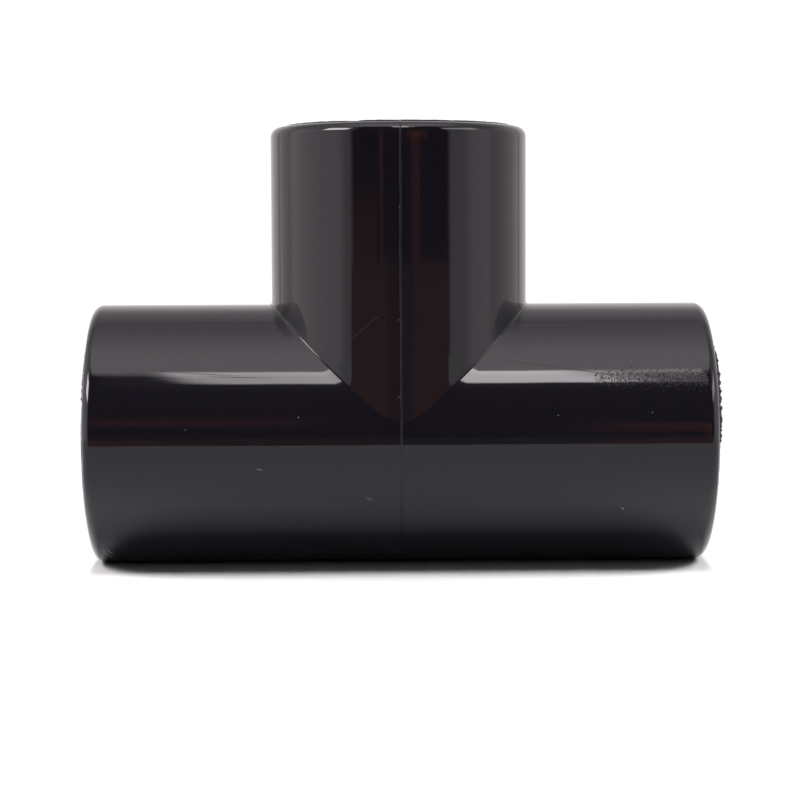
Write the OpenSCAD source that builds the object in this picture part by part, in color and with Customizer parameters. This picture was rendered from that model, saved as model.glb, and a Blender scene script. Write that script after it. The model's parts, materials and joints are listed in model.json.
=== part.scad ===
// Compression tee for 1/2 in drip-irrigation tubing.
// A smooth moulded body with three equal mouths. Each mouth holds one press-fitted
// compression ring: tubing pushed through the ring is gripped by the sharp edge behind
// its throat and comes to rest against a shoulder inside the body.
//
// Millimetres. +Z is up and the branch points up it; the run lies along X.
// The origin is on the surface the tee rests on, under the crossing of its centre lines.

/* [Tubing] */
// Outside diameter of the tubing that each mouth takes
tube_od = 17.8; // [17:0.1:18.4]

/* [Body] */
// Outside diameter of the run
run_od = 26.4; // [26:0.1:32]
// How much smaller in diameter the branch is than the run
branch_step = 0.3; // [0.1:0.1:1]
// Length of the run, mouth to mouth
run_length = 62.4; // [60:0.2:90]
// Height of the branch mouth above the centre line of the run
branch_reach = 31.2; // [30:0.1:45]
// Radius of the rounded edge at each mouth
rim_round = 1; // [0.3:0.1:1]
// Body wall around each compression ring
mouth_wall = 1.6; // [1.5:0.1:1.8]

/* [Compression rings] */
// Length of each ring along its mouth
ring_length = 10; // [9:0.1:11]
// How far each ring stands out of its mouth
ring_proud = 0.2; // [0:0.05:0.5]
// How much smaller the throat is than the tubing, in diameter
throat_bite = 0.6; // [0.2:0.1:1]
// Length of the throat, the narrowest part of the ring
throat_length = 2; // [1.5:0.1:3]

/* [Waterway] */
// Diameter of the passage for the water
waterway_d = 15; // [12:0.5:15.5]
// Depth of the pocket behind each ring that the end of the tubing enters
tube_pocket_depth = 7; // [4:0.5:7]

/* [Hidden] */
// Body sizes that follow from the ones above.
run_r = run_od / 2;
branch_r = run_r - branch_step / 2;
run_half = run_length / 2;
run_axis_z = run_r;

// Every mouth takes the same ring, sized from the thinner branch.
ring_r = branch_r - mouth_wall;
ring_seat_depth = ring_length - ring_proud;
ring_face_width = 1.3;
ring_edge_round = 0.25;
ring_back_chamfer = 0.5;

// Inside a ring, from its face inwards: a lead-in cone, the throat, and the undercut
// whose sharp edge stops the tubing from backing out.
lead_in_r = ring_r - ring_face_width;
lead_in_depth = 5.5;
throat_r = (tube_od - throat_bite) / 2;
throat_front = ring_length - lead_in_depth;
throat_back = throat_front - throat_length;
undercut_r = tube_od / 2 + 0.4;
undercut_slope = 0.25;

// The tubing enters a slightly tapered pocket and stops at its floor.
pocket_mouth_r = tube_od / 2 + 0.5;
pocket_floor_r = tube_od / 2 + 0.2;
pocket_end_depth = ring_seat_depth + tube_pocket_depth;
pocket_chamfer = 0.6;
waterway_r = waterway_d / 2;

// How far each ring seat is cut past the face of its mouth.
overrun = 1;

$fn = 96;

// Each of these puts a shape that was built along +Z into one of the three arms.
module in_right_arm() {
    translate([0, 0, run_axis_z])
        rotate([0, 90, 0])
            children();
}

module in_left_arm() {
    translate([0, 0, run_axis_z])
        rotate([0, -90, 0])
            children();
}

module in_branch_arm() {
    translate([0, 0, run_axis_z])
        children();
}

// Half section of one arm: a plain barrel whose outer edge at the mouth is rounded.
module barrel_section(radius, reach) {
    square([radius - rim_round, reach]);
    square([radius, reach - rim_round]);
    translate([radius - rim_round, reach - rim_round])
        circle(r = rim_round);
}

module barrel(radius, reach) {
    rotate_extrude()
        barrel_section(radius, reach);
}

// Everything hollow in one arm: ring seat, tapered tubing pocket and waterway.
module arm_hollow(reach) {
    pocket_floor = reach - pocket_end_depth;
    pocket_mouth = reach - ring_seat_depth;
    cylinder(r = waterway_r, h = reach);
    translate([0, 0, pocket_floor])
        cylinder(r1 = pocket_floor_r, r2 = pocket_mouth_r, h = tube_pocket_depth);
    translate([0, 0, pocket_mouth - pocket_chamfer])
        cylinder(
            r1 = pocket_mouth_r,
            r2 = pocket_mouth_r + pocket_chamfer,
            h = pocket_chamfer
        );
    translate([0, 0, pocket_mouth])
        cylinder(r = ring_r, h = ring_seat_depth + overrun);
}

// Moulded body: two barrels crossing, hollowed from all three mouths.
module tee_body() {
    color("#151416")
        difference() {
            union() {
                in_right_arm() barrel(run_r, run_half);
                in_left_arm() barrel(run_r, run_half);
                in_branch_arm() barrel(branch_r, branch_reach);
            }
            in_right_arm() arm_hollow(run_half);
            in_left_arm() arm_hollow(run_half);
            in_branch_arm() arm_hollow(branch_reach);
        }
}

// Half section of a compression ring, from its back at zero to its front face.
module ring_section() {
    polygon([
        [undercut_r, 0],
        [ring_r - ring_back_chamfer, 0],
        [ring_r, ring_back_chamfer],
        [ring_r, ring_length - ring_edge_round],
        [ring_r - ring_edge_round, ring_length],
        [lead_in_r, ring_length],
        [throat_r, throat_front],
        [throat_r, throat_back],
        [undercut_r, throat_back - undercut_slope]
    ]);
    translate([ring_r - ring_edge_round, ring_length - ring_edge_round])
        circle(r = ring_edge_round);
}

// One compression ring, seated in the mouth of an arm that reaches this far.
module compression_ring(reach) {
    translate([0, 0, reach - ring_seat_depth])
        rotate_extrude()
            ring_section();
}

module left_compression_ring() {
    color("#1c1b1d")
        in_left_arm() compression_ring(run_half);
}

module right_compression_ring() {
    color("#1c1b1d")
        in_right_arm() compression_ring(run_half);
}

module branch_compression_ring() {
    color("#1c1b1d")
        in_branch_arm() compression_ring(branch_reach);
}

tee_body();
left_compression_ring();
right_compression_ring();
branch_compression_ring();
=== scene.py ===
"""Studio view of a compression tee for drip tubing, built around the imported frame.

Shapes are worked out in millimetres, in the CAD part's own frame, and turned into metres as each
mesh is made. The run lies along X, the branch points up Z and the camera looks along +Y.
"""

import json
import math

import bmesh
import bpy
import numpy as np
from mathutils import Matrix, Vector, noise


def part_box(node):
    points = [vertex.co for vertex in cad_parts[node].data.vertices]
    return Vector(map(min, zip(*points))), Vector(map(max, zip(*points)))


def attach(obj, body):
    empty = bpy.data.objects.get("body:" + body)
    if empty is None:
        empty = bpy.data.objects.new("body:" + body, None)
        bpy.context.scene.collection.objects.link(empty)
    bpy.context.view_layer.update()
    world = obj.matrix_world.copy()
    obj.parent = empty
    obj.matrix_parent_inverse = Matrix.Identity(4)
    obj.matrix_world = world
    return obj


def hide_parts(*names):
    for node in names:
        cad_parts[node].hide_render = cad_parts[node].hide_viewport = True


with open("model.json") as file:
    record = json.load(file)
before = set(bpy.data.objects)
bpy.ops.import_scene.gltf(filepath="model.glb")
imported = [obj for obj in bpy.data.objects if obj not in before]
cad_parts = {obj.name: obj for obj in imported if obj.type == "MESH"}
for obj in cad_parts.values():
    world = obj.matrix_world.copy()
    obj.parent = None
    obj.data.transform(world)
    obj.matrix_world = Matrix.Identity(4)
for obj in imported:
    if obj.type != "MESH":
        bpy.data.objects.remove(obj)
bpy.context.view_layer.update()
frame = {"record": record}

# ---------------------------------------------------------------- sizes
MM = 0.001


def box_mm(node):
    low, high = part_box(node)
    return np.round(np.array(low) / MM, 2), np.round(np.array(high) / MM, 2)


body_low, body_high = box_mm("tee_body")
ring_low, ring_high = box_mm("branch_compression_ring")

RUN_R = (body_high[1] - body_low[1]) / 2
RUN_HALF = (body_high[0] - body_low[0]) / 2
AXIS_Z = body_low[2] + RUN_R                        # height of the run's centre line
REACH = body_high[2] - AXIS_Z                       # from that line to the branch mouth
RIM_ROUND = 1.0
MOUTH_WALL = 1.6
RING_R = (ring_high[0] - ring_low[0]) / 2
BRANCH_R = RING_R + MOUTH_WALL
RING_LENGTH = ring_high[2] - ring_low[2]
RING_PROUD = ring_high[2] - body_high[2]
RING_SEAT = RING_LENGTH - RING_PROUD

# Inside the arms, as in the CAD part.
mounts = {mount["name"]: mount for mount in frame["record"]["mounts"]}
throat = mounts["branch_tube_throat"]["dims"]
THROAT_R = throat["r_mm"]
THROAT_LENGTH = throat["length_mm"]
THROAT_BITE = 0.6                                   # the throat's squeeze, in diameter
TUBE_R = THROAT_R + THROAT_BITE / 2
RING_FACE_WIDTH = 1.3
RING_BACK_CHAMFER = 0.5
LEAD_IN_DEPTH = 5.5
UNDERCUT_R = TUBE_R + 0.4
UNDERCUT_SLOPE = 0.25
WATERWAY_R = 7.5
POCKET_DEPTH = 7.0
POCKET_MOUTH_R = TUBE_R + 0.5
POCKET_FLOOR_R = TUBE_R + 0.2
POCKET_CHAMFER = 0.6

# Details that the CAD part doesn't have, and how finely the meshes are cut.
CREASE_R = 0.3                                      # fillet where the barrels meet
SEAT_SOFTNESS = 0.12                                # rounding of the corners inside a mouth
RING_SOFTNESS = 0.14                                # rounding of a ring's corners
LINE_HEIGHT = 0.11                                  # the mould line, above the barrels
LINE_STEP = 0.12                                    # spacing of the points along it

AROUND = 384                                        # steps round the branch
UNDERSIDE = 200                                     # steps round the run below the branch
BARREL_STEPS = 28                                   # steps along each barrel
WATERWAY_STEPS = 6
CREASE_STEPS = 6
CORNER_STEPS = 3
WELD = 0.0004                                       # vertices closer than this become one


# ---------------------------------------------------------------- mesh helpers
def softened(profile, radius):
    """Rounds each inner corner of a polyline of (radius, along) points."""
    points = [np.array(p, float) for p in profile]
    out = [points[0]]
    for before, corner, after in zip(points, points[1:], points[2:]):
        back = before - corner
        ahead = after - corner
        reach_back = min(radius, np.linalg.norm(back) * 0.45)
        reach_ahead = min(radius, np.linalg.norm(ahead) * 0.45)
        start = corner + back / np.linalg.norm(back) * reach_back
        end = corner + ahead / np.linalg.norm(ahead) * reach_ahead
        for k in range(CORNER_STEPS + 1):
            t = k / CORNER_STEPS
            out.append((1 - t) ** 2 * start + 2 * t * (1 - t) * corner + t * t * end)
    out.append(points[-1])
    return np.array(out)


def grid_faces(rows, columns):
    """Faces of a grid of vertices stored row by row, with its last row joined to its first."""
    faces = []
    for i in range(rows):
        a = i * columns
        b = ((i + 1) % rows) * columns
        for j in range(columns - 1):
            faces.append((a + j, b + j, b + j + 1, a + j + 1))
    return faces


def loop_faces(loops, count, closed):
    """Faces between closed loops of vertices; closed also joins the last loop to the first."""
    faces = []
    for i in range(loops if closed else loops - 1):
        a = i * count
        b = ((i + 1) % loops) * count
        for k in range(count):
            ahead = (k + 1) % count
            faces.append((a + k, a + ahead, b + ahead, b + k))
    return faces


def add_object(name, data):
    obj = bpy.data.objects.new(name, data)
    bpy.context.scene.collection.objects.link(obj)
    return obj


def make_mesh(name, parts, sharp_angle=35.0):
    """One object from several (vertices in mm, faces) parts, welded where they meet."""
    vertices = []
    faces = []
    for part_vertices, part_faces in parts:
        base = len(vertices)
        vertices.extend((np.asarray(part_vertices) * MM).tolist())
        faces.extend([tuple(base + k for k in face) for face in part_faces])
    mesh = bpy.data.meshes.new(name)
    mesh.from_pydata(vertices, [], faces)
    bm = bmesh.new()
    bm.from_mesh(mesh)
    bmesh.ops.remove_doubles(bm, verts=bm.verts, dist=WELD * MM)
    bmesh.ops.dissolve_degenerate(bm, edges=bm.edges, dist=WELD * MM)
    bmesh.ops.recalc_face_normals(bm, faces=bm.faces)
    for face in bm.faces:
        face.smooth = True
    for edge in bm.edges:
        if len(edge.link_faces) == 2 and edge.calc_face_angle() > math.radians(sharp_angle):
            edge.smooth = False
    bm.to_mesh(mesh)
    bm.free()
    return add_object(name, mesh)


def weigh_normals(obj):
    modifier = obj.modifiers.new("weighted normals", "WEIGHTED_NORMAL")
    modifier.keep_sharp = True
    modifier.weight = 60


def ripple(points, wavelength, seed):
    """A smooth, repeatable wave over space, between about -1 and 1, for points in mm."""
    waves = 5
    value = np.zeros(len(points))
    for k in range(waves):
        turn = seed * 1.7 + k * 2.4
        tilt = math.sin(seed + k * 1.3)
        direction = np.array([math.cos(turn), math.sin(turn), tilt])
        direction /= np.linalg.norm(direction)
        pitch = wavelength * (0.7 + 0.23 * k)
        value += np.sin(points @ direction * (2 * math.pi / pitch) + seed + k)
    return value / waves


def rumple(obj, height, wavelength, seed):
    """Moves each vertex along its normal, as a moulded skin that shrank a little unevenly.

    Nothing goes below the table, at height 0.
    """
    mesh = obj.data
    points = np.empty(len(mesh.vertices) * 3)
    mesh.vertices.foreach_get("co", points)
    points = points.reshape(-1, 3)
    normals = np.empty(len(mesh.vertices) * 3)
    mesh.vertex_normals.foreach_get("vector", normals)
    normals = normals.reshape(-1, 3)
    wave = ripple(points / MM, wavelength, seed)
    points += normals * (wave * height * MM)[:, None]
    points[:, 2] = np.maximum(points[:, 2], 0.0)
    mesh.vertices.foreach_set("co", points.ravel())
    mesh.update()


# ---------------------------------------------------------------- where things lie
FRONT = -math.pi / 2                                # an angle round any arm


def on_branch(radius, angle, along):
    """angle turns from +X towards the back."""
    return np.stack([radius * np.cos(angle), radius * np.sin(angle), along + AXIS_Z], -1)


def on_run(radius, angle, along, side):
    """angle turns from straight up towards the back; side is 1 for the right arm."""
    return np.stack([side * along, radius * np.sin(angle), radius * np.cos(angle) + AXIS_Z], -1)


def on_right_arm(radius, angle, along):
    return on_run(radius, angle, along, 1)


def on_left_arm(radius, angle, along):
    return on_run(radius, angle, along, -1)


ARMS = {
    "left": (on_left_arm, RUN_HALF),
    "right": (on_right_arm, RUN_HALF),
    "branch": (on_branch, REACH),
}


def mouth_profile(outer_r, reach):
    """(radius, along) from the end of the plain barrel over the rim and down to the waterway."""
    centre_r = outer_r - RIM_ROUND
    centre_a = reach - RIM_ROUND
    rim_steps = 10
    rim = []
    for k in range(1, rim_steps + 1):
        turn = math.radians(90 / rim_steps * k)
        rim.append((centre_r + RIM_ROUND * math.cos(turn), centre_a + RIM_ROUND * math.sin(turn)))
    seat = reach - RING_SEAT
    shoulder = seat - POCKET_DEPTH
    inside = [
        rim[-1],
        (RING_R, reach),
        (RING_R, seat),
        (POCKET_MOUTH_R + POCKET_CHAMFER, seat),
        (POCKET_MOUTH_R, seat - POCKET_CHAMFER),
        (POCKET_FLOOR_R, shoulder),
        (WATERWAY_R, shoulder),
        (WATERWAY_R, shoulder - 1.0),
    ]
    return np.concatenate([np.array(rim[:-1]), softened(inside, SEAT_SOFTNESS)])


def crease_point(angle):
    """Centre of a ball that rolls along the crease, by its angle round the branch."""
    ball_r = BRANCH_R + CREASE_R
    x = ball_r * np.cos(angle)
    y = ball_r * np.sin(angle)
    z = np.sqrt((RUN_R + CREASE_R) ** 2 - y ** 2)
    return x, y, z


def arm_grid(outer_r, reach, start, outer_angle, inner_angle, inner_start, place):
    """Skin of one arm: barrel from its crease to the rim, over it, and back down the waterway."""
    mouth = mouth_profile(outer_r, reach)
    barrel_end = reach - RIM_ROUND
    columns = []
    for k in range(BARREL_STEPS + 1):
        along = start + (barrel_end - start) * k / BARREL_STEPS
        columns.append(place(np.full_like(start, outer_r), outer_angle, along))
    for k, (radius, along) in enumerate(mouth):
        ease = (k + 1) / len(mouth)
        angle = outer_angle + (inner_angle - outer_angle) * ease
        columns.append(place(np.full_like(start, radius), angle, np.full_like(start, along)))
    last = mouth[-1][1]
    for k in range(1, WATERWAY_STEPS + 1):
        along = last + (inner_start - last) * k / WATERWAY_STEPS
        columns.append(place(np.full_like(start, WATERWAY_R), inner_angle, along))
    return np.stack(columns, 1)


def body_parts():
    angle = np.linspace(0, 2 * math.pi, AROUND, endpoint=False)
    x, y, z = crease_point(angle)
    parts = []

    branch = arm_grid(
        BRANCH_R, REACH, z, angle, angle, WATERWAY_R * np.abs(np.cos(angle)), on_branch
    )
    rows, columns, _ = branch.shape
    parts.append((branch.reshape(-1, 3), grid_faces(rows, columns)))

    # The crease: a strip that turns from the branch's skin to the run's.
    to_branch = np.stack([-np.cos(angle), -np.sin(angle), np.zeros_like(angle)], -1)
    to_run = np.stack([np.zeros_like(angle), -y, -z], -1) / (RUN_R + CREASE_R)
    opening = np.arccos(np.clip((to_branch * to_run).sum(-1), -1, 1))[:, None]
    centre = np.stack([x, y, z + AXIS_Z], -1)
    strip = []
    for k in range(CREASE_STEPS + 1):
        t = k / CREASE_STEPS
        away = np.sin((1 - t) * opening) * to_branch + np.sin(t * opening) * to_run
        strip.append(centre + CREASE_R * away / np.sin(opening))
    strip = np.stack(strip, 1)
    parts.append((strip.reshape(-1, 3), grid_faces(AROUND, CREASE_STEPS + 1)))

    # Each half of the run: the rows under the branch start at the crease, the rest at x = 0.
    quarter = np.linspace(-math.pi / 2, math.pi / 2, AROUND // 2 + 1)
    qx, qy, qz = crease_point(quarter)
    upper = np.arctan2(qy, qz)
    lower = np.linspace(upper[-1], 2 * math.pi + upper[0], UNDERSIDE + 1)[1:-1]
    outer_angle = np.concatenate([upper, lower])
    start = np.concatenate([qx, np.zeros_like(lower)])
    start[np.abs(start) < 1e-9] = 0.0
    lower_inside = np.linspace(math.pi / 2, 3 * math.pi / 2, UNDERSIDE + 1)[1:-1]
    inner_angle = np.concatenate([quarter, lower_inside])
    inner_start = WATERWAY_R * np.maximum(np.cos(inner_angle), 0.0)
    for place in (on_right_arm, on_left_arm):
        half = arm_grid(RUN_R, RUN_HALF, start, outer_angle, inner_angle, inner_start, place)
        rows, columns, _ = half.shape
        parts.append((half.reshape(-1, 3), grid_faces(rows, columns)))
    return parts


# ---------------------------------------------------------------- body
body = make_mesh("moulded_body", body_parts())
rumple(body, 0.006, 9.0, 2.0)
weigh_normals(body)
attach(body, "root")
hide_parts("tee_body")


# ---------------------------------------------------------------- mould line
def mould_line_path():
    """Outline of the body in the plane x = 0, from the top at the front to the top at the back.

    It holds (point, outward direction) pairs; the points are about the run's centre line.
    """
    path = []
    crease_z = float(crease_point(np.array([math.pi / 2]))[2][0])
    barrel_end = REACH - RIM_ROUND
    rim_steps = 10
    front = []
    for k in range(rim_steps):
        turn = math.radians(90 - 90 * k / rim_steps)
        r = BRANCH_R - RIM_ROUND + RIM_ROUND * math.cos(turn)
        z = barrel_end + RIM_ROUND * math.sin(turn)
        front.append(((r, z), (math.cos(turn), math.sin(turn))))
    for z in np.arange(barrel_end, crease_z, -LINE_STEP):
        front.append(((BRANCH_R, float(z)), (1.0, 0.0)))
    start = math.atan2(BRANCH_R, crease_z)
    for (r, z), (nr, nz) in front:
        path.append((Vector((0, -r, z)), Vector((0, -nr, nz))))
    turns = int(RUN_R * (2 * math.pi - 2 * start) / LINE_STEP)
    for k in range(turns + 1):
        turn = -start - (2 * math.pi - 2 * start) * k / turns
        out = Vector((0, math.sin(turn), math.cos(turn)))
        path.append((out * RUN_R, out))
    for (r, z), (nr, nz) in reversed(front):
        path.append((Vector((0, r, z)), Vector((0, nr, nz))))
    return path


# Nibs where the mould line caught on something: (height above the table, size).
NIBS = [(36.1, 0.10), (35.4, 0.06), (28.0, 0.09), (25.2, 0.12), (17.7, 0.07)]


def ridge_part(points, outs, halves, heights):
    """A low rounded ridge along a path on the skin, sunk a little into it.

    The points are about the run's centre line.
    """
    section = 9
    sunk = 0.06
    vertices = []
    for i, (point, out) in enumerate(zip(points, outs)):
        ahead = points[min(i + 1, len(points) - 1)] - points[max(i - 1, 0)]
        side = ahead.cross(out).normalized()
        centre = point + Vector((0, 0, AXIS_Z))
        for k in range(section):
            turn = math.pi * k / (section - 1)
            rise = heights[i] * math.sin(turn)
            vertices.append(centre + out * rise + side * halves[i] * math.cos(turn))
        vertices.append(centre - out * sunk - side * halves[i])
        vertices.append(centre - out * sunk + side * halves[i])
    count = section + 2
    faces = loop_faces(len(points), count, closed=False)
    faces.append(tuple(range(count)))
    last = (len(points) - 1) * count
    faces.append(tuple(last + k for k in reversed(range(count))))
    return [tuple(v) for v in vertices], faces


def mould_line_parts():
    points = []
    outs = []
    halves = []
    heights = []
    for i, (point, out) in enumerate(mould_line_path()):
        # It wanders sideways, swells and thins, and has nicks and nibs here and there.
        travel = i * LINE_STEP
        wander = 0.06 * noise.noise(Vector((travel * 0.11, 3.1, 0)))
        wander += 0.03 * noise.noise(Vector((travel * 0.6, 7.7, 0)))
        swell = 0.5 + 0.5 * noise.noise(Vector((travel * 0.6, 1.3, 0)))
        nick = max(0.0, noise.noise(Vector((travel * 1.9, 5.0, 2.0))) - 0.3)
        for at, size in NIBS:
            if point.y < 0:
                nick += size * 4 * math.exp(-((point.z + AXIS_Z - at) / 0.13) ** 2)
        # It thins out underneath, where the run rests on the table.
        lean = math.degrees(math.acos(min(1.0, max(-1.0, -out.z))))
        clear = min(1.0, max(0.0, (lean - 9) / 20))
        points.append(point + Vector((wander, 0, 0)))
        outs.append(out)
        halves.append((0.085 + 0.02 * swell + 0.12 * nick) * (0.3 + 0.7 * clear))
        heights.append((LINE_HEIGHT * (0.6 + 0.4 * swell) + 0.15 * nick) * clear)
    return [ridge_part(points, outs, halves, heights)]


mould_line = make_mesh("mould_line", mould_line_parts(), sharp_angle=60)
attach(mould_line, "root")


# ---------------------------------------------------------------- compression rings
def ring_profile():
    """(radius, along) round a ring's closed section; along runs from its back at 0 to its face."""
    throat_front = RING_LENGTH - LEAD_IN_DEPTH
    throat_back = throat_front - THROAT_LENGTH
    corners = [
        (UNDERCUT_R, 0.0),
        (RING_R - RING_BACK_CHAMFER, 0.0),
        (RING_R, RING_BACK_CHAMFER),
        (RING_R, RING_LENGTH),
        (RING_R - RING_FACE_WIDTH, RING_LENGTH),
        (THROAT_R, throat_front),
        (THROAT_R, throat_back),
        (UNDERCUT_R, throat_back - UNDERCUT_SLOPE),
    ]
    around = [corners[-1]] + corners + [corners[0]]
    return softened(around, RING_SOFTNESS)[1:-1]


def turn_from(start, angle):
    """The turn from one angle to another, at most half a turn either way."""
    return (angle - start + math.pi) % (2 * math.pi) - math.pi


def ring_parts(place, reach, seed, worn):
    """worn lists (angle, spread, depth) places where the ring's outer edge is chipped."""
    profile = ring_profile()
    steps = 288
    base = reach - RING_SEAT
    face_zone = 0.35                    # wear reaches this far back from the face
    edge_zone = 0.9                     # and chips this far in from the outer edge
    vertices = []
    for i in range(steps):
        angle = 2 * math.pi * i / steps
        chip = 0.0
        for at, spread, depth in worn:
            off = turn_from(at, angle)
            rough = 0.6 + 0.8 * abs(noise.noise(Vector((angle * 60, seed, 0))))
            chip += depth * rough * math.exp(-(off / spread) ** 2)
        for radius, along in profile:
            face_edge = np.clip((along - RING_LENGTH + face_zone) / face_zone, 0, 1)
            outer_edge = np.clip((radius - RING_R + edge_zone) / edge_zone, 0, 1)
            grain = 0.035 * noise.noise(Vector((radius * 1.4, angle * 14, seed)))
            lower = face_edge * outer_edge * chip - face_edge * grain
            vertices.append(place(radius, angle, base + along - lower))
    return [([tuple(v) for v in vertices], loop_faces(steps, len(profile), closed=True))]


# By arm: a seed for the roughness, then the worn places.
RING_WEAR = {
    "left": (11.0, [(FRONT + 0.3, 0.12, 0.08)]),
    "right": (23.0, [(FRONT + 0.9, 0.2, 0.06)]),
    "branch": (37.0, [(FRONT - 0.42, 0.06, 0.16)]),
}
rings = []
for arm, wear in RING_WEAR.items():
    ring = make_mesh(arm + "_ring", ring_parts(*ARMS[arm], *wear))
    weigh_normals(ring)
    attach(ring, "root")
    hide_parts(arm + "_compression_ring")
    rings.append(ring)


# ---------------------------------------------------------------- welding cement
def cement_parts(place, reach, seed, lumps):
    """A ragged bead in the joint round a ring; lumps lists (angle, spread, size) swellings."""
    steps = 720
    section = 10
    joint_r = RING_R + 0.08
    vertices = []
    for i in range(steps):
        angle = 2 * math.pi * i / steps
        size = 0.07 + 0.05 * noise.noise(Vector((math.cos(angle) * 2, math.sin(angle) * 2, seed)))
        for at, spread, swell in lumps:
            off = turn_from(at, angle)
            hump = 1 / (1 + (off / spread) ** 8)
            ragged = 0.75 + 0.55 * noise.noise(Vector((angle * 26, seed, 4)))
            ragged += 0.35 * noise.noise(Vector((angle * 70, seed, 9)))
            size += swell * hump * max(0.2, ragged)
        for k in range(section):
            turn = 2 * math.pi * k / section
            knob = 1 + 0.3 * noise.noise(Vector((angle * 50, k * 0.8, seed + 2)))
            radius = joint_r + size * knob * math.cos(turn)
            along = reach + size * knob * math.sin(turn)
            vertices.append(place(radius, angle, along))
    return [([tuple(v) for v in vertices], loop_faces(steps, section, closed=True))]


# By arm: a seed for the raggedness, then the lumps.
CEMENT = {
    "left": (5.0, [(FRONT + 0.5, 0.16, 0.16)]),
    "right": (8.0, [(FRONT + 0.42, 0.45, 0.38)]),
    "branch": (13.0, []),
}
beads = []
for arm, lumpiness in CEMENT.items():
    bead = make_mesh(arm + "_cement", cement_parts(*ARMS[arm], *lumpiness), sharp_angle=80)
    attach(bead, "root")
    beads.append(bead)


# ---------------------------------------------------------------- marks of handling
def run_skin(along, lean):
    """Point and outward direction on the run, by x and by degrees from its top towards the front."""
    turn = math.radians(lean)
    out = Vector((0, -math.sin(turn), math.cos(turn)))
    return Vector((along, 0, 0)) + out * RUN_R, out


def branch_skin(bearing, height):
    """The same on the branch, by degrees from its front towards +X and by height above the table."""
    turn = math.radians(bearing)
    out = Vector((math.sin(turn), -math.cos(turn), 0))
    return out * BRANCH_R + Vector((0, 0, height - AXIS_Z)), out


# Scratches: the skin, half their width and their height in mm, then the places they pass through.
SCRATCHES = [
    (run_skin, 0.035, 0.024, [(8.2, 51.8), (15.7, 57.0), (24.4, 63.4)]),
    (run_skin, 0.03, 0.016, [(10.5, 37.2), (13.0, 37.4)]),
    (run_skin, 0.03, 0.014, [(-27.5, 58.5), (-23.0, 59.5)]),
    (run_skin, 0.03, 0.014, [(-26.0, 60.0), (-20.5, 61.8)]),
    (run_skin, 0.03, 0.014, [(-22.5, 58.6), (-15.5, 60.2)]),
    (run_skin, 0.03, 0.014, [(-19.0, 60.6), (-12.5, 61.4)]),
    (branch_skin, 0.022, 0.007, [(-31.0, 21.4), (-18.0, 24.0), (-7.0, 26.0)]),
]
# Scuffs: ridges of worn plastic painted pale grey, and the pale grey also paints in the highlight
# they catch. Listed in the same way.
SCUFFS = [
    (run_skin, 0.04, 0.020, [(-14.2, 100.8), (-13.5, 101.2)]),
    (run_skin, 0.04, 0.020, [(-3.5, 114.3), (-2.8, 115.8)]),
    (run_skin, 0.05, 0.030, [(21.6, 120.0), (22.0, 121.5)]),
    (run_skin, 0.06, 0.040, [(-29.9, 147.0), (-29.1, 158.0)]),
    (run_skin, 0.05, 0.035, [(-29.5, 146.0), (-28.9, 154.0)]),
]
# Pale specks: the skin, the radius in mm and the place. The three on the branch sit on nibs of the
# mould line, and their pale grey is a painted highlight.
SPECKS = [
    (run_skin, 0.08, (-10.0, 78.9)),
    (run_skin, 0.06, (15.3, 78.6)),
    (run_skin, 0.06, (24.5, 77.5)),
    (run_skin, 0.06, (27.2, 18.6)),
    (run_skin, 0.06, (-14.9, 155.0)),
    (run_skin, 0.05, (-5.6, 92.0)),
    (run_skin, 0.05, (-21.0, 84.0)),
    (branch_skin, 0.06, (-0.8, 25.2)),
    (branch_skin, 0.06, (-1.0, 17.7)),
    (branch_skin, 0.05, (-0.6, 36.1)),
]


def scratch_part(skin, half, height, places):
    """A fine ridge through the places, with a slight shake, thinning out at both ends."""
    steps = 24
    marks = []
    for start, end in zip(places, places[1:]):
        for k in range(steps):
            t = k / steps
            marks.append([a + (b - a) * t for a, b in zip(start, end)])
    marks.append(list(places[-1]))
    points = []
    outs = []
    fades = []
    for k, (first, second) in enumerate(marks):
        shake = 0.08 * noise.noise(Vector((k * 0.21, first, 4.0)))
        point, out = skin(first, second + shake)
        points.append(point)
        outs.append(out)
        fades.append(0.15 + 0.85 * math.sin(math.pi * (k + 0.5) / len(marks)))
    return ridge_part(points, outs, [half * f for f in fades], [height * f for f in fades])


def dome_part(point, out, radius, height):
    """A small rounded lump on the skin."""
    side = Vector((1, 0, 0)) if abs(out.x) < 0.7 else Vector((0, 0, 1))
    first = side.cross(out).normalized()
    second = out.cross(first)
    centre = point + Vector((0, 0, AXIS_Z))
    vertices = [tuple(centre + out * height)]
    corners = 8
    for share, lift in ((0.6, 0.75), (1.0, 0.0), (1.0, -0.4)):
        for k in range(corners):
            turn = 2 * math.pi * k / corners
            away = first * math.cos(turn) + second * math.sin(turn)
            vertices.append(tuple(centre + away * radius * share + out * height * lift))
    faces = [(0, 1 + k, 1 + (k + 1) % corners) for k in range(corners)]
    for band in range(2):
        base = 1 + band * corners
        for k in range(corners):
            ahead = (k + 1) % corners
            faces.append((base + k, base + corners + k, base + corners + ahead, base + ahead))
    faces.append(tuple(1 + 2 * corners + k for k in range(corners)))
    return vertices, faces


SPATTER_DROPS = 1800
SPATTER_LENGTH = 11.0
SPATTER_END = RUN_HALF - RIM_ROUND - 0.2            # by the rim of the right mouth
SPATTER_LEAN = 62.2                                 # degrees from the top of the run
SPATTER_SPREAD = 1.8                                # degrees to each side of that, as a rule
DROP_LIFT = 0.45                                    # height of a droplet as a share of its radius
SPECK_LIFT = 0.6                                    # and of a speck


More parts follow.
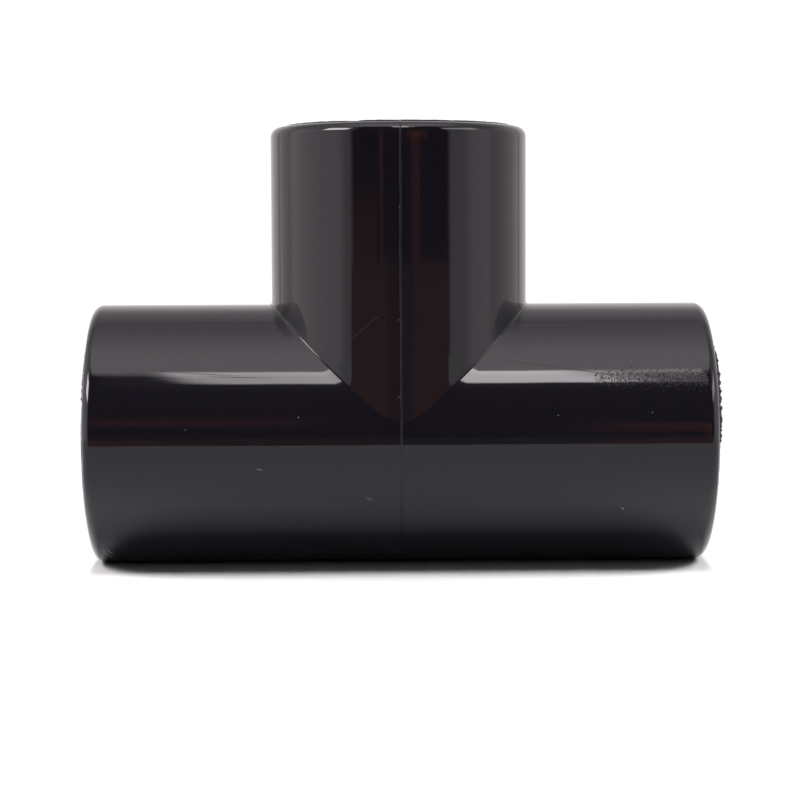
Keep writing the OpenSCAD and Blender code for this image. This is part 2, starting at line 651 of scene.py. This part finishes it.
def spatter_parts():
    """Fine dried droplets of cement on the right arm, thicker towards its mouth."""
    draw = np.random.default_rng(5)
    parts = []
    for _ in range(SPATTER_DROPS):
        along = SPATTER_END - SPATTER_LENGTH * draw.random() ** 1.5
        lean = SPATTER_LEAN + SPATTER_SPREAD * draw.standard_normal()
        size = 0.03 + 0.045 * draw.random() ** 2
        point, out = run_skin(along, lean)
        parts.append(dome_part(point, out, size, size * DROP_LIFT))
    return parts


def speck_parts():
    return [dome_part(*skin(*place), size, size * SPECK_LIFT) for skin, size, place in SPECKS]


def mark_mesh(name, parts):
    """One mesh of small marks on the body."""
    mark = make_mesh(name, parts, sharp_angle=60)
    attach(mark, "root")
    return mark


scratches = mark_mesh("scratches", [scratch_part(*scratch) for scratch in SCRATCHES])
scuffs = mark_mesh("scuffs", [scratch_part(*scuff) for scuff in SCUFFS])
specks = mark_mesh("specks", speck_parts())
spatter = mark_mesh("cement_spatter", spatter_parts())


# ---------------------------------------------------------------- materials
class Nodes:
    """Short names for the shader nodes of one material or world."""

    def __init__(self, owner):
        owner.use_nodes = True
        self.tree = owner.node_tree

    def add(self, kind, **settings):
        node = self.tree.nodes.new(kind)
        for key, value in settings.items():
            setattr(node, key, value)
        return node

    def feed(self, value, target):
        """Links a socket to the target, or sets the target to a number or colour."""
        if isinstance(value, bpy.types.NodeSocket):
            self.tree.links.new(value, target)
        else:
            target.default_value = value

    def math(self, operation, a, b=0.0):
        node = self.add("ShaderNodeMath", operation=operation)
        self.feed(a, node.inputs[0])
        self.feed(b, node.inputs[1])
        return node.outputs[0]

    def noise(self, vector, scale, detail):
        node = self.add("ShaderNodeTexNoise")
        node.inputs["Scale"].default_value = scale
        node.inputs["Detail"].default_value = detail
        self.feed(vector, node.inputs["Vector"])
        return node.outputs["Fac"]

    def remap(self, value, low, high, to_low=0.0, to_high=1.0):
        node = self.add("ShaderNodeMapRange", interpolation_type="SMOOTHSTEP")
        limits = {"From Min": low, "From Max": high, "To Min": to_low, "To Max": to_high}
        for key, number in limits.items():
            node.inputs[key].default_value = number
        self.feed(value, node.inputs["Value"])
        return node.outputs["Result"]

    def bump(self, height, strength, distance):
        node = self.add("ShaderNodeBump")
        node.inputs["Strength"].default_value = strength
        node.inputs["Distance"].default_value = distance
        self.feed(height, node.inputs["Height"])
        return node.outputs["Normal"]


def moulded_plastic(name, colour, roughness, peel):
    """Plastic whose gloss varies in clouds; peel is the depth, in metres, of its fine texture."""
    material = bpy.data.materials.new(name)
    n = Nodes(material)
    shader = n.tree.nodes["Principled BSDF"]
    where = n.add("ShaderNodeTexCoord").outputs["Object"]
    shader.inputs["IOR"].default_value = 1.42
    shader.inputs["Specular IOR Level"].default_value = 0.44
    shader.inputs["Base Color"].default_value = (*colour, 1)
    cloud = n.noise(where, 160, 3)
    n.feed(n.remap(cloud, 0.3, 0.7, roughness * 0.85, roughness * 1.2), shader.inputs["Roughness"])
    skin = n.noise(where, 900, 2)
    n.feed(n.bump(skin, 0.25, peel), shader.inputs["Normal"])
    return material


def paint(pieces, material):
    for piece in pieces:
        piece.data.materials.append(material)


BODY_BLACK = (0.0098, 0.0083, 0.0125)
# Pale grey for the scuffs and specks: worn plastic, with a painted highlight where they catch the
# light.
WEAR_AND_HIGHLIGHT_GREY = (0.16, 0.155, 0.16)
body_material = moulded_plastic("body_plastic_gloss", BODY_BLACK, 0.04, 0.000004)
ring_material = moulded_plastic("ring_plastic_satin", BODY_BLACK, 0.3, 0.000006)
cement_material = moulded_plastic("dried_cement", BODY_BLACK, 0.35, 0.0001)
wear_and_highlight_material = moulded_plastic("scuffed_plastic", WEAR_AND_HIGHLIGHT_GREY, 0.5, 0.00002)
paint((body, mould_line, scratches, spatter), body_material)
paint((scuffs, specks), wear_and_highlight_material)
paint(rings, ring_material)
paint(beads, cement_material)

# ---------------------------------------------------------------- camera
# Places, the lens and the sensor are in mm, and angles in radians.
CAMERA_DISTANCE = 226.2          # from the branch's centre line, level
CAMERA_SIDE = -3.3               # to the left of the branch's centre line
CAMERA_HEIGHT = 19.5             # above the run's centre line
CAMERA_PITCH = -0.0716           # looking slightly down
CAMERA_TURN = -0.0149            # looking slightly to the right
CAMERA_ROLL = -0.0042
CAMERA_LENS = 98.9
CAMERA_SENSOR = 36

camera = add_object("camera", bpy.data.cameras.new("camera"))
camera.data.lens = CAMERA_LENS
camera.data.sensor_width = CAMERA_SENSOR
camera.data.clip_start = 0.01
camera.matrix_world = (
    Matrix.Translation(Vector((CAMERA_SIDE, -CAMERA_DISTANCE, AXIS_Z + CAMERA_HEIGHT)) * MM)
    @ Matrix.Rotation(CAMERA_TURN, 4, "Z")
    @ Matrix.Rotation(math.pi / 2 + CAMERA_PITCH, 4, "X")
    @ Matrix.Rotation(CAMERA_ROLL, 4, "Z")
)
bpy.context.scene.camera = camera

# ---------------------------------------------------------------- studio
# The room is in the world's shader and shows only in reflections: soft panels, placed by direction.
# Azimuth runs from the camera's side towards +X and elevation from the horizon, both in degrees.
# Each panel: azimuth from and to, elevation from and to, softness of its edges, brightness.
WALL_PANELS = {
    "left_wall": (-134, -43, -90, 90, 3, 0.92),
    "left_window": (-112, -52, -90, 90, 5, 0.62),
    "right_wall": (45, 134, -90, 90, 3, 0.95),
    "right_window": (64, 88, -90, 90, 5, 0.4),
}
BACK_WALL = 0.92
BACK_WALL_FROM = (128, 142)                # the azimuths, to either side, over which it starts
WALLS_DIM = (24, 40, 1.0, 0.68)            # elevation from and to, share below and above
CEILING_FROM = (58.5, 63.5)                # the elevations over which it starts
CEILING = (0.72, 2.55)                     # brightness at the back and towards the camera
CEILING_JOINT = -0.49                      # a thin dark joint across the ceiling, behind the tee
LIGHT_TINT = (1.03, 0.97, 1.0)
ROOM_STRENGTH = 1.12
BACKDROP_STRENGTH = 1.1
LAMP = (7.6, 11.5)                         # a long slanting lamp: brightness at its two ends
LAMP_SLANT = 0.37                          # degrees sideways for each degree up
LAMP_HEIGHT = (48.0, 59.3)                 # its elevation from and to
LAMP_PANELS = {
    "beside_lamp": (10.8, 19, 48, 59.3, 1.4, 2.9),
    "lamp_glow": (-8, 14, 46, 58, 8, 0.3),
    "left_reflector": (-76, -50, 26, 42, 2, 16),
    "right_reflector": (42, 80, 25, 38, 2, 4),
}
BROWN = (0.33, 0.09, 0.04)
WOOD_PANELS = {                            # dark wooden furniture on the camera's side
    "left_shelf": (-30, -2, 10.0, 17.0, 2.5, 0.9),
    "right_shelf": (6, 25, 4, 12, 2, 1),
    "left_cabinet": (-44, -20, -10, 1, 1, 0.8),
    "left_post": (-17.5, -14, -5, 9, 1, 1),
    "right_post": (11, 18, -5, 9, 1.5, 1),
}


def studio_world():
    """The room for reflections and a plain white backdrop for the camera."""
    world = bpy.data.worlds.new("studio")
    n = Nodes(world)
    axes = n.add("ShaderNodeSeparateXYZ")
    n.feed(n.add("ShaderNodeTexCoord").outputs["Generated"], axes.inputs["Vector"])
    right, back, up = axes.outputs
    front = n.math("MULTIPLY", back, -1.0)
    azimuth = n.math("DEGREES", n.math("ARCTAN2", right, front))
    elevation = n.math("DEGREES", n.math("ARCSINE", up))

    def between(value, low, high, soft):
        rise = n.remap(value, low - soft, low + soft)
        fall = n.remap(value, high - soft, high + soft, 1.0, 0.0)
        return n.math("MULTIPLY", rise, fall)

    def panel(left, right_edge, low, high, soft, brightness):
        shape = n.math("MULTIPLY", between(azimuth, left, right_edge, soft),
                       between(elevation, low, high, soft))
        return n.math("MULTIPLY", shape, brightness)

    def together(panels):
        total = 0.0
        for limits in panels.values():
            total = n.math("ADD", panel(*limits), total)
        return total

    behind = n.remap(n.math("ABSOLUTE", azimuth), *BACK_WALL_FROM, 0.0, BACK_WALL)
    walls = n.math("MULTIPLY", n.math("ADD", together(WALL_PANELS), behind),
                   n.remap(elevation, *WALLS_DIM))
    ceiling = n.remap(front, -0.45, 0.4, *CEILING)
    # The ceiling starts lower down towards the camera.
    lowered = n.math("ADD", elevation, n.math("MULTIPLY", front, 8.0))
    overhead = n.remap(lowered, *CEILING_FROM)
    room = n.math("ADD", n.math("MULTIPLY", ceiling, overhead),
                  n.math("MULTIPLY", walls, n.math("SUBTRACT", 1.0, overhead)))

    joint = n.math("MULTIPLY", between(front, CEILING_JOINT - 0.01, CEILING_JOINT + 0.01, 0.01),
                   n.remap(elevation, 45, 50, 0.0, 0.35))
    room = n.math("MULTIPLY", room, n.math("SUBTRACT", 1.0, joint))

    slanted = n.math("ADD", azimuth, n.math("MULTIPLY", elevation, LAMP_SLANT))
    lamp = n.math("MULTIPLY", n.remap(slanted, 10.3, 12.7), n.remap(azimuth, 9.0, 12.5, 1.0, 0.0))
    lamp = n.math("MULTIPLY", lamp, between(elevation, *LAMP_HEIGHT, 0.9))
    lamp = n.math("MULTIPLY", lamp, n.remap(azimuth, -6, 6, *LAMP))
    room = n.math("ADD", room, n.math("ADD", lamp, together(LAMP_PANELS)))

    tint = n.add("ShaderNodeVectorMath", operation="SCALE")
    tint.inputs[0].default_value = LIGHT_TINT
    n.feed(room, tint.inputs["Scale"])

    wood = together(WOOD_PANELS)
    brown = n.add("ShaderNodeVectorMath", operation="SCALE")
    brown.inputs[0].default_value = BROWN
    n.feed(wood, brown.inputs["Scale"])

    seen = n.add("ShaderNodeVectorMath", operation="ADD")
    n.feed(tint.outputs[0], seen.inputs[0])
    n.feed(brown.outputs[0], seen.inputs[1])

    lit = n.tree.nodes["Background"]
    n.feed(seen.outputs[0], lit.inputs["Color"])
    lit.inputs["Strength"].default_value = ROOM_STRENGTH
    backdrop = n.add("ShaderNodeBackground")
    backdrop.inputs["Color"].default_value = (1, 1, 1, 1)
    backdrop.inputs["Strength"].default_value = BACKDROP_STRENGTH
    choose = n.add("ShaderNodeMixShader")
    n.feed(n.add("ShaderNodeLightPath").outputs["Is Camera Ray"], choose.inputs[0])
    n.feed(lit.outputs[0], choose.inputs[1])
    n.feed(backdrop.outputs[0], choose.inputs[2])
    n.feed(choose.outputs[0], n.tree.nodes["World Output"].inputs["Surface"])
    return world


bpy.context.scene.view_settings.view_transform = "Standard"
bpy.context.scene.world = studio_world()
bpy.context.scene.world.cycles_visibility.diffuse = False       # the lamps below light the scene


def softbox(name, width, tilt, strength, lean=0):
    """A soft lamp far away; its width, tilt towards the camera and lean to -X are in degrees."""
    lamp = bpy.data.lights.new(name, "SUN")
    lamp.angle = math.radians(width)
    lamp.energy = strength
    obj = add_object(name, lamp)
    obj.rotation_euler = (math.radians(tilt), math.radians(-lean), 0)
    obj.visible_glossy = False


# A strip light overhead, narrow along the run and wide across it, with weaker light from both
# sides and from in front.
for step, strip_tilt in enumerate((-3, 5, 13, 21)):
    softbox("overhead_strip_%d" % step, width=13, tilt=strip_tilt, strength=0.77)
softbox("left_fill", width=30, tilt=0, strength=0.6, lean=50)
softbox("right_fill", width=30, tilt=0, strength=0.6, lean=-50)
softbox("front_fill", width=60, tilt=55, strength=0.16)

SIDE_LAMP_SIZE = (8, 6)
SIDE_LAMP_ENERGY = 0.0023


def side_lamp(name, side):
    """A small lamp beside one mouth that lights the sheet under the end of the run."""
    lamp = bpy.data.lights.new(name, "AREA")
    lamp.shape = "RECTANGLE"
    lamp.size = SIDE_LAMP_SIZE[0] * MM
    lamp.size_y = SIDE_LAMP_SIZE[1] * MM
    lamp.energy = SIDE_LAMP_ENERGY
    obj = add_object(name, lamp)
    place = Vector((side * (RUN_HALF + 9), -9, 15)) * MM
    target = Vector((side * (RUN_HALF - 1), -8, 0)) * MM
    obj.location = place
    obj.rotation_euler = (target - place).to_track_quat("-Z", "Y").to_euler()
    obj.visible_camera = False
    obj.visible_glossy = False


side_lamp("left_side_lamp", -1)
side_lamp("right_side_lamp", 1)


def stage_sheet(name, corners, height):
    vertices = [(x, y, height) for x, y in corners]
    sheet = make_mesh(name, [(vertices, [(0, 1, 2, 3)])])
    return sheet


def matt_white(name, colour):
    material = bpy.data.materials.new(name)
    shader = Nodes(material).tree.nodes["Principled BSDF"]
    shader.inputs["Base Color"].default_value = (*colour, 1)
    shader.inputs["Roughness"].default_value = 1.0
    shader.inputs["Specular IOR Level"].default_value = 0.0
    return material


FLOOR_HALF = 320
FLOOR_CORNERS = [(-FLOOR_HALF, -FLOOR_HALF), (FLOOR_HALF, -FLOOR_HALF),
                 (FLOOR_HALF, FLOOR_HALF), (-FLOOR_HALF, FLOOR_HALF)]
floor = stage_sheet("floor", FLOOR_CORNERS, 0)
floor.data.materials.append(matt_white("floor_white", (0.9, 0.88, 0.9)))


def glow(name, colour):
    material = bpy.data.materials.new(name)
    n = Nodes(material)
    n.tree.nodes.clear()
    emission = n.add("ShaderNodeEmission")
    emission.inputs["Color"].default_value = (*colour, 1)
    output = n.add("ShaderNodeOutputMaterial")
    n.feed(emission.outputs[0], output.inputs["Surface"])
    return material


# In reflections the white sheet ends in front of the object. Beyond it lie glowing wedges for the
# table top, just above the floor, that only reflections show: their emission is a painted reflection
# of a lit table, brown to each side, dim around the camera. Each has its azimuth from and to, and
# its colour.
SHEET_END = 120
TABLE_END = 3000
TABLE_HEIGHT = 0.3
TABLE = {
    "table_middle_left": (-11, 0.5, (0.18, 0.08, 0.04)),
    "table_middle_right": (0.5, 12, (0.11, 0.12, 0.15)),
    "table_left": (-43, -11, (0.35, 0.15, 0.08)),
    "table_right": (12, 43, (0.35, 0.14, 0.07)),
}


def glowing_table_wedge(name, from_azimuth, to_azimuth, colour):
    left = math.tan(math.radians(from_azimuth))
    right = math.tan(math.radians(to_azimuth))
    corners = [(SHEET_END * left, -SHEET_END), (SHEET_END * right, -SHEET_END),
               (TABLE_END * right, -TABLE_END), (TABLE_END * left, -TABLE_END)]
    wedge = stage_sheet(name, corners, TABLE_HEIGHT)
    # Emission, not lit by the lamps: the table's brightness here is a painted reflection.
    wedge.data.materials.append(glow(name, colour))
    wedge.visible_camera = False
    wedge.visible_shadow = False
    wedge.visible_diffuse = False


for name, limits in TABLE.items():
    glowing_table_wedge(name, *limits)
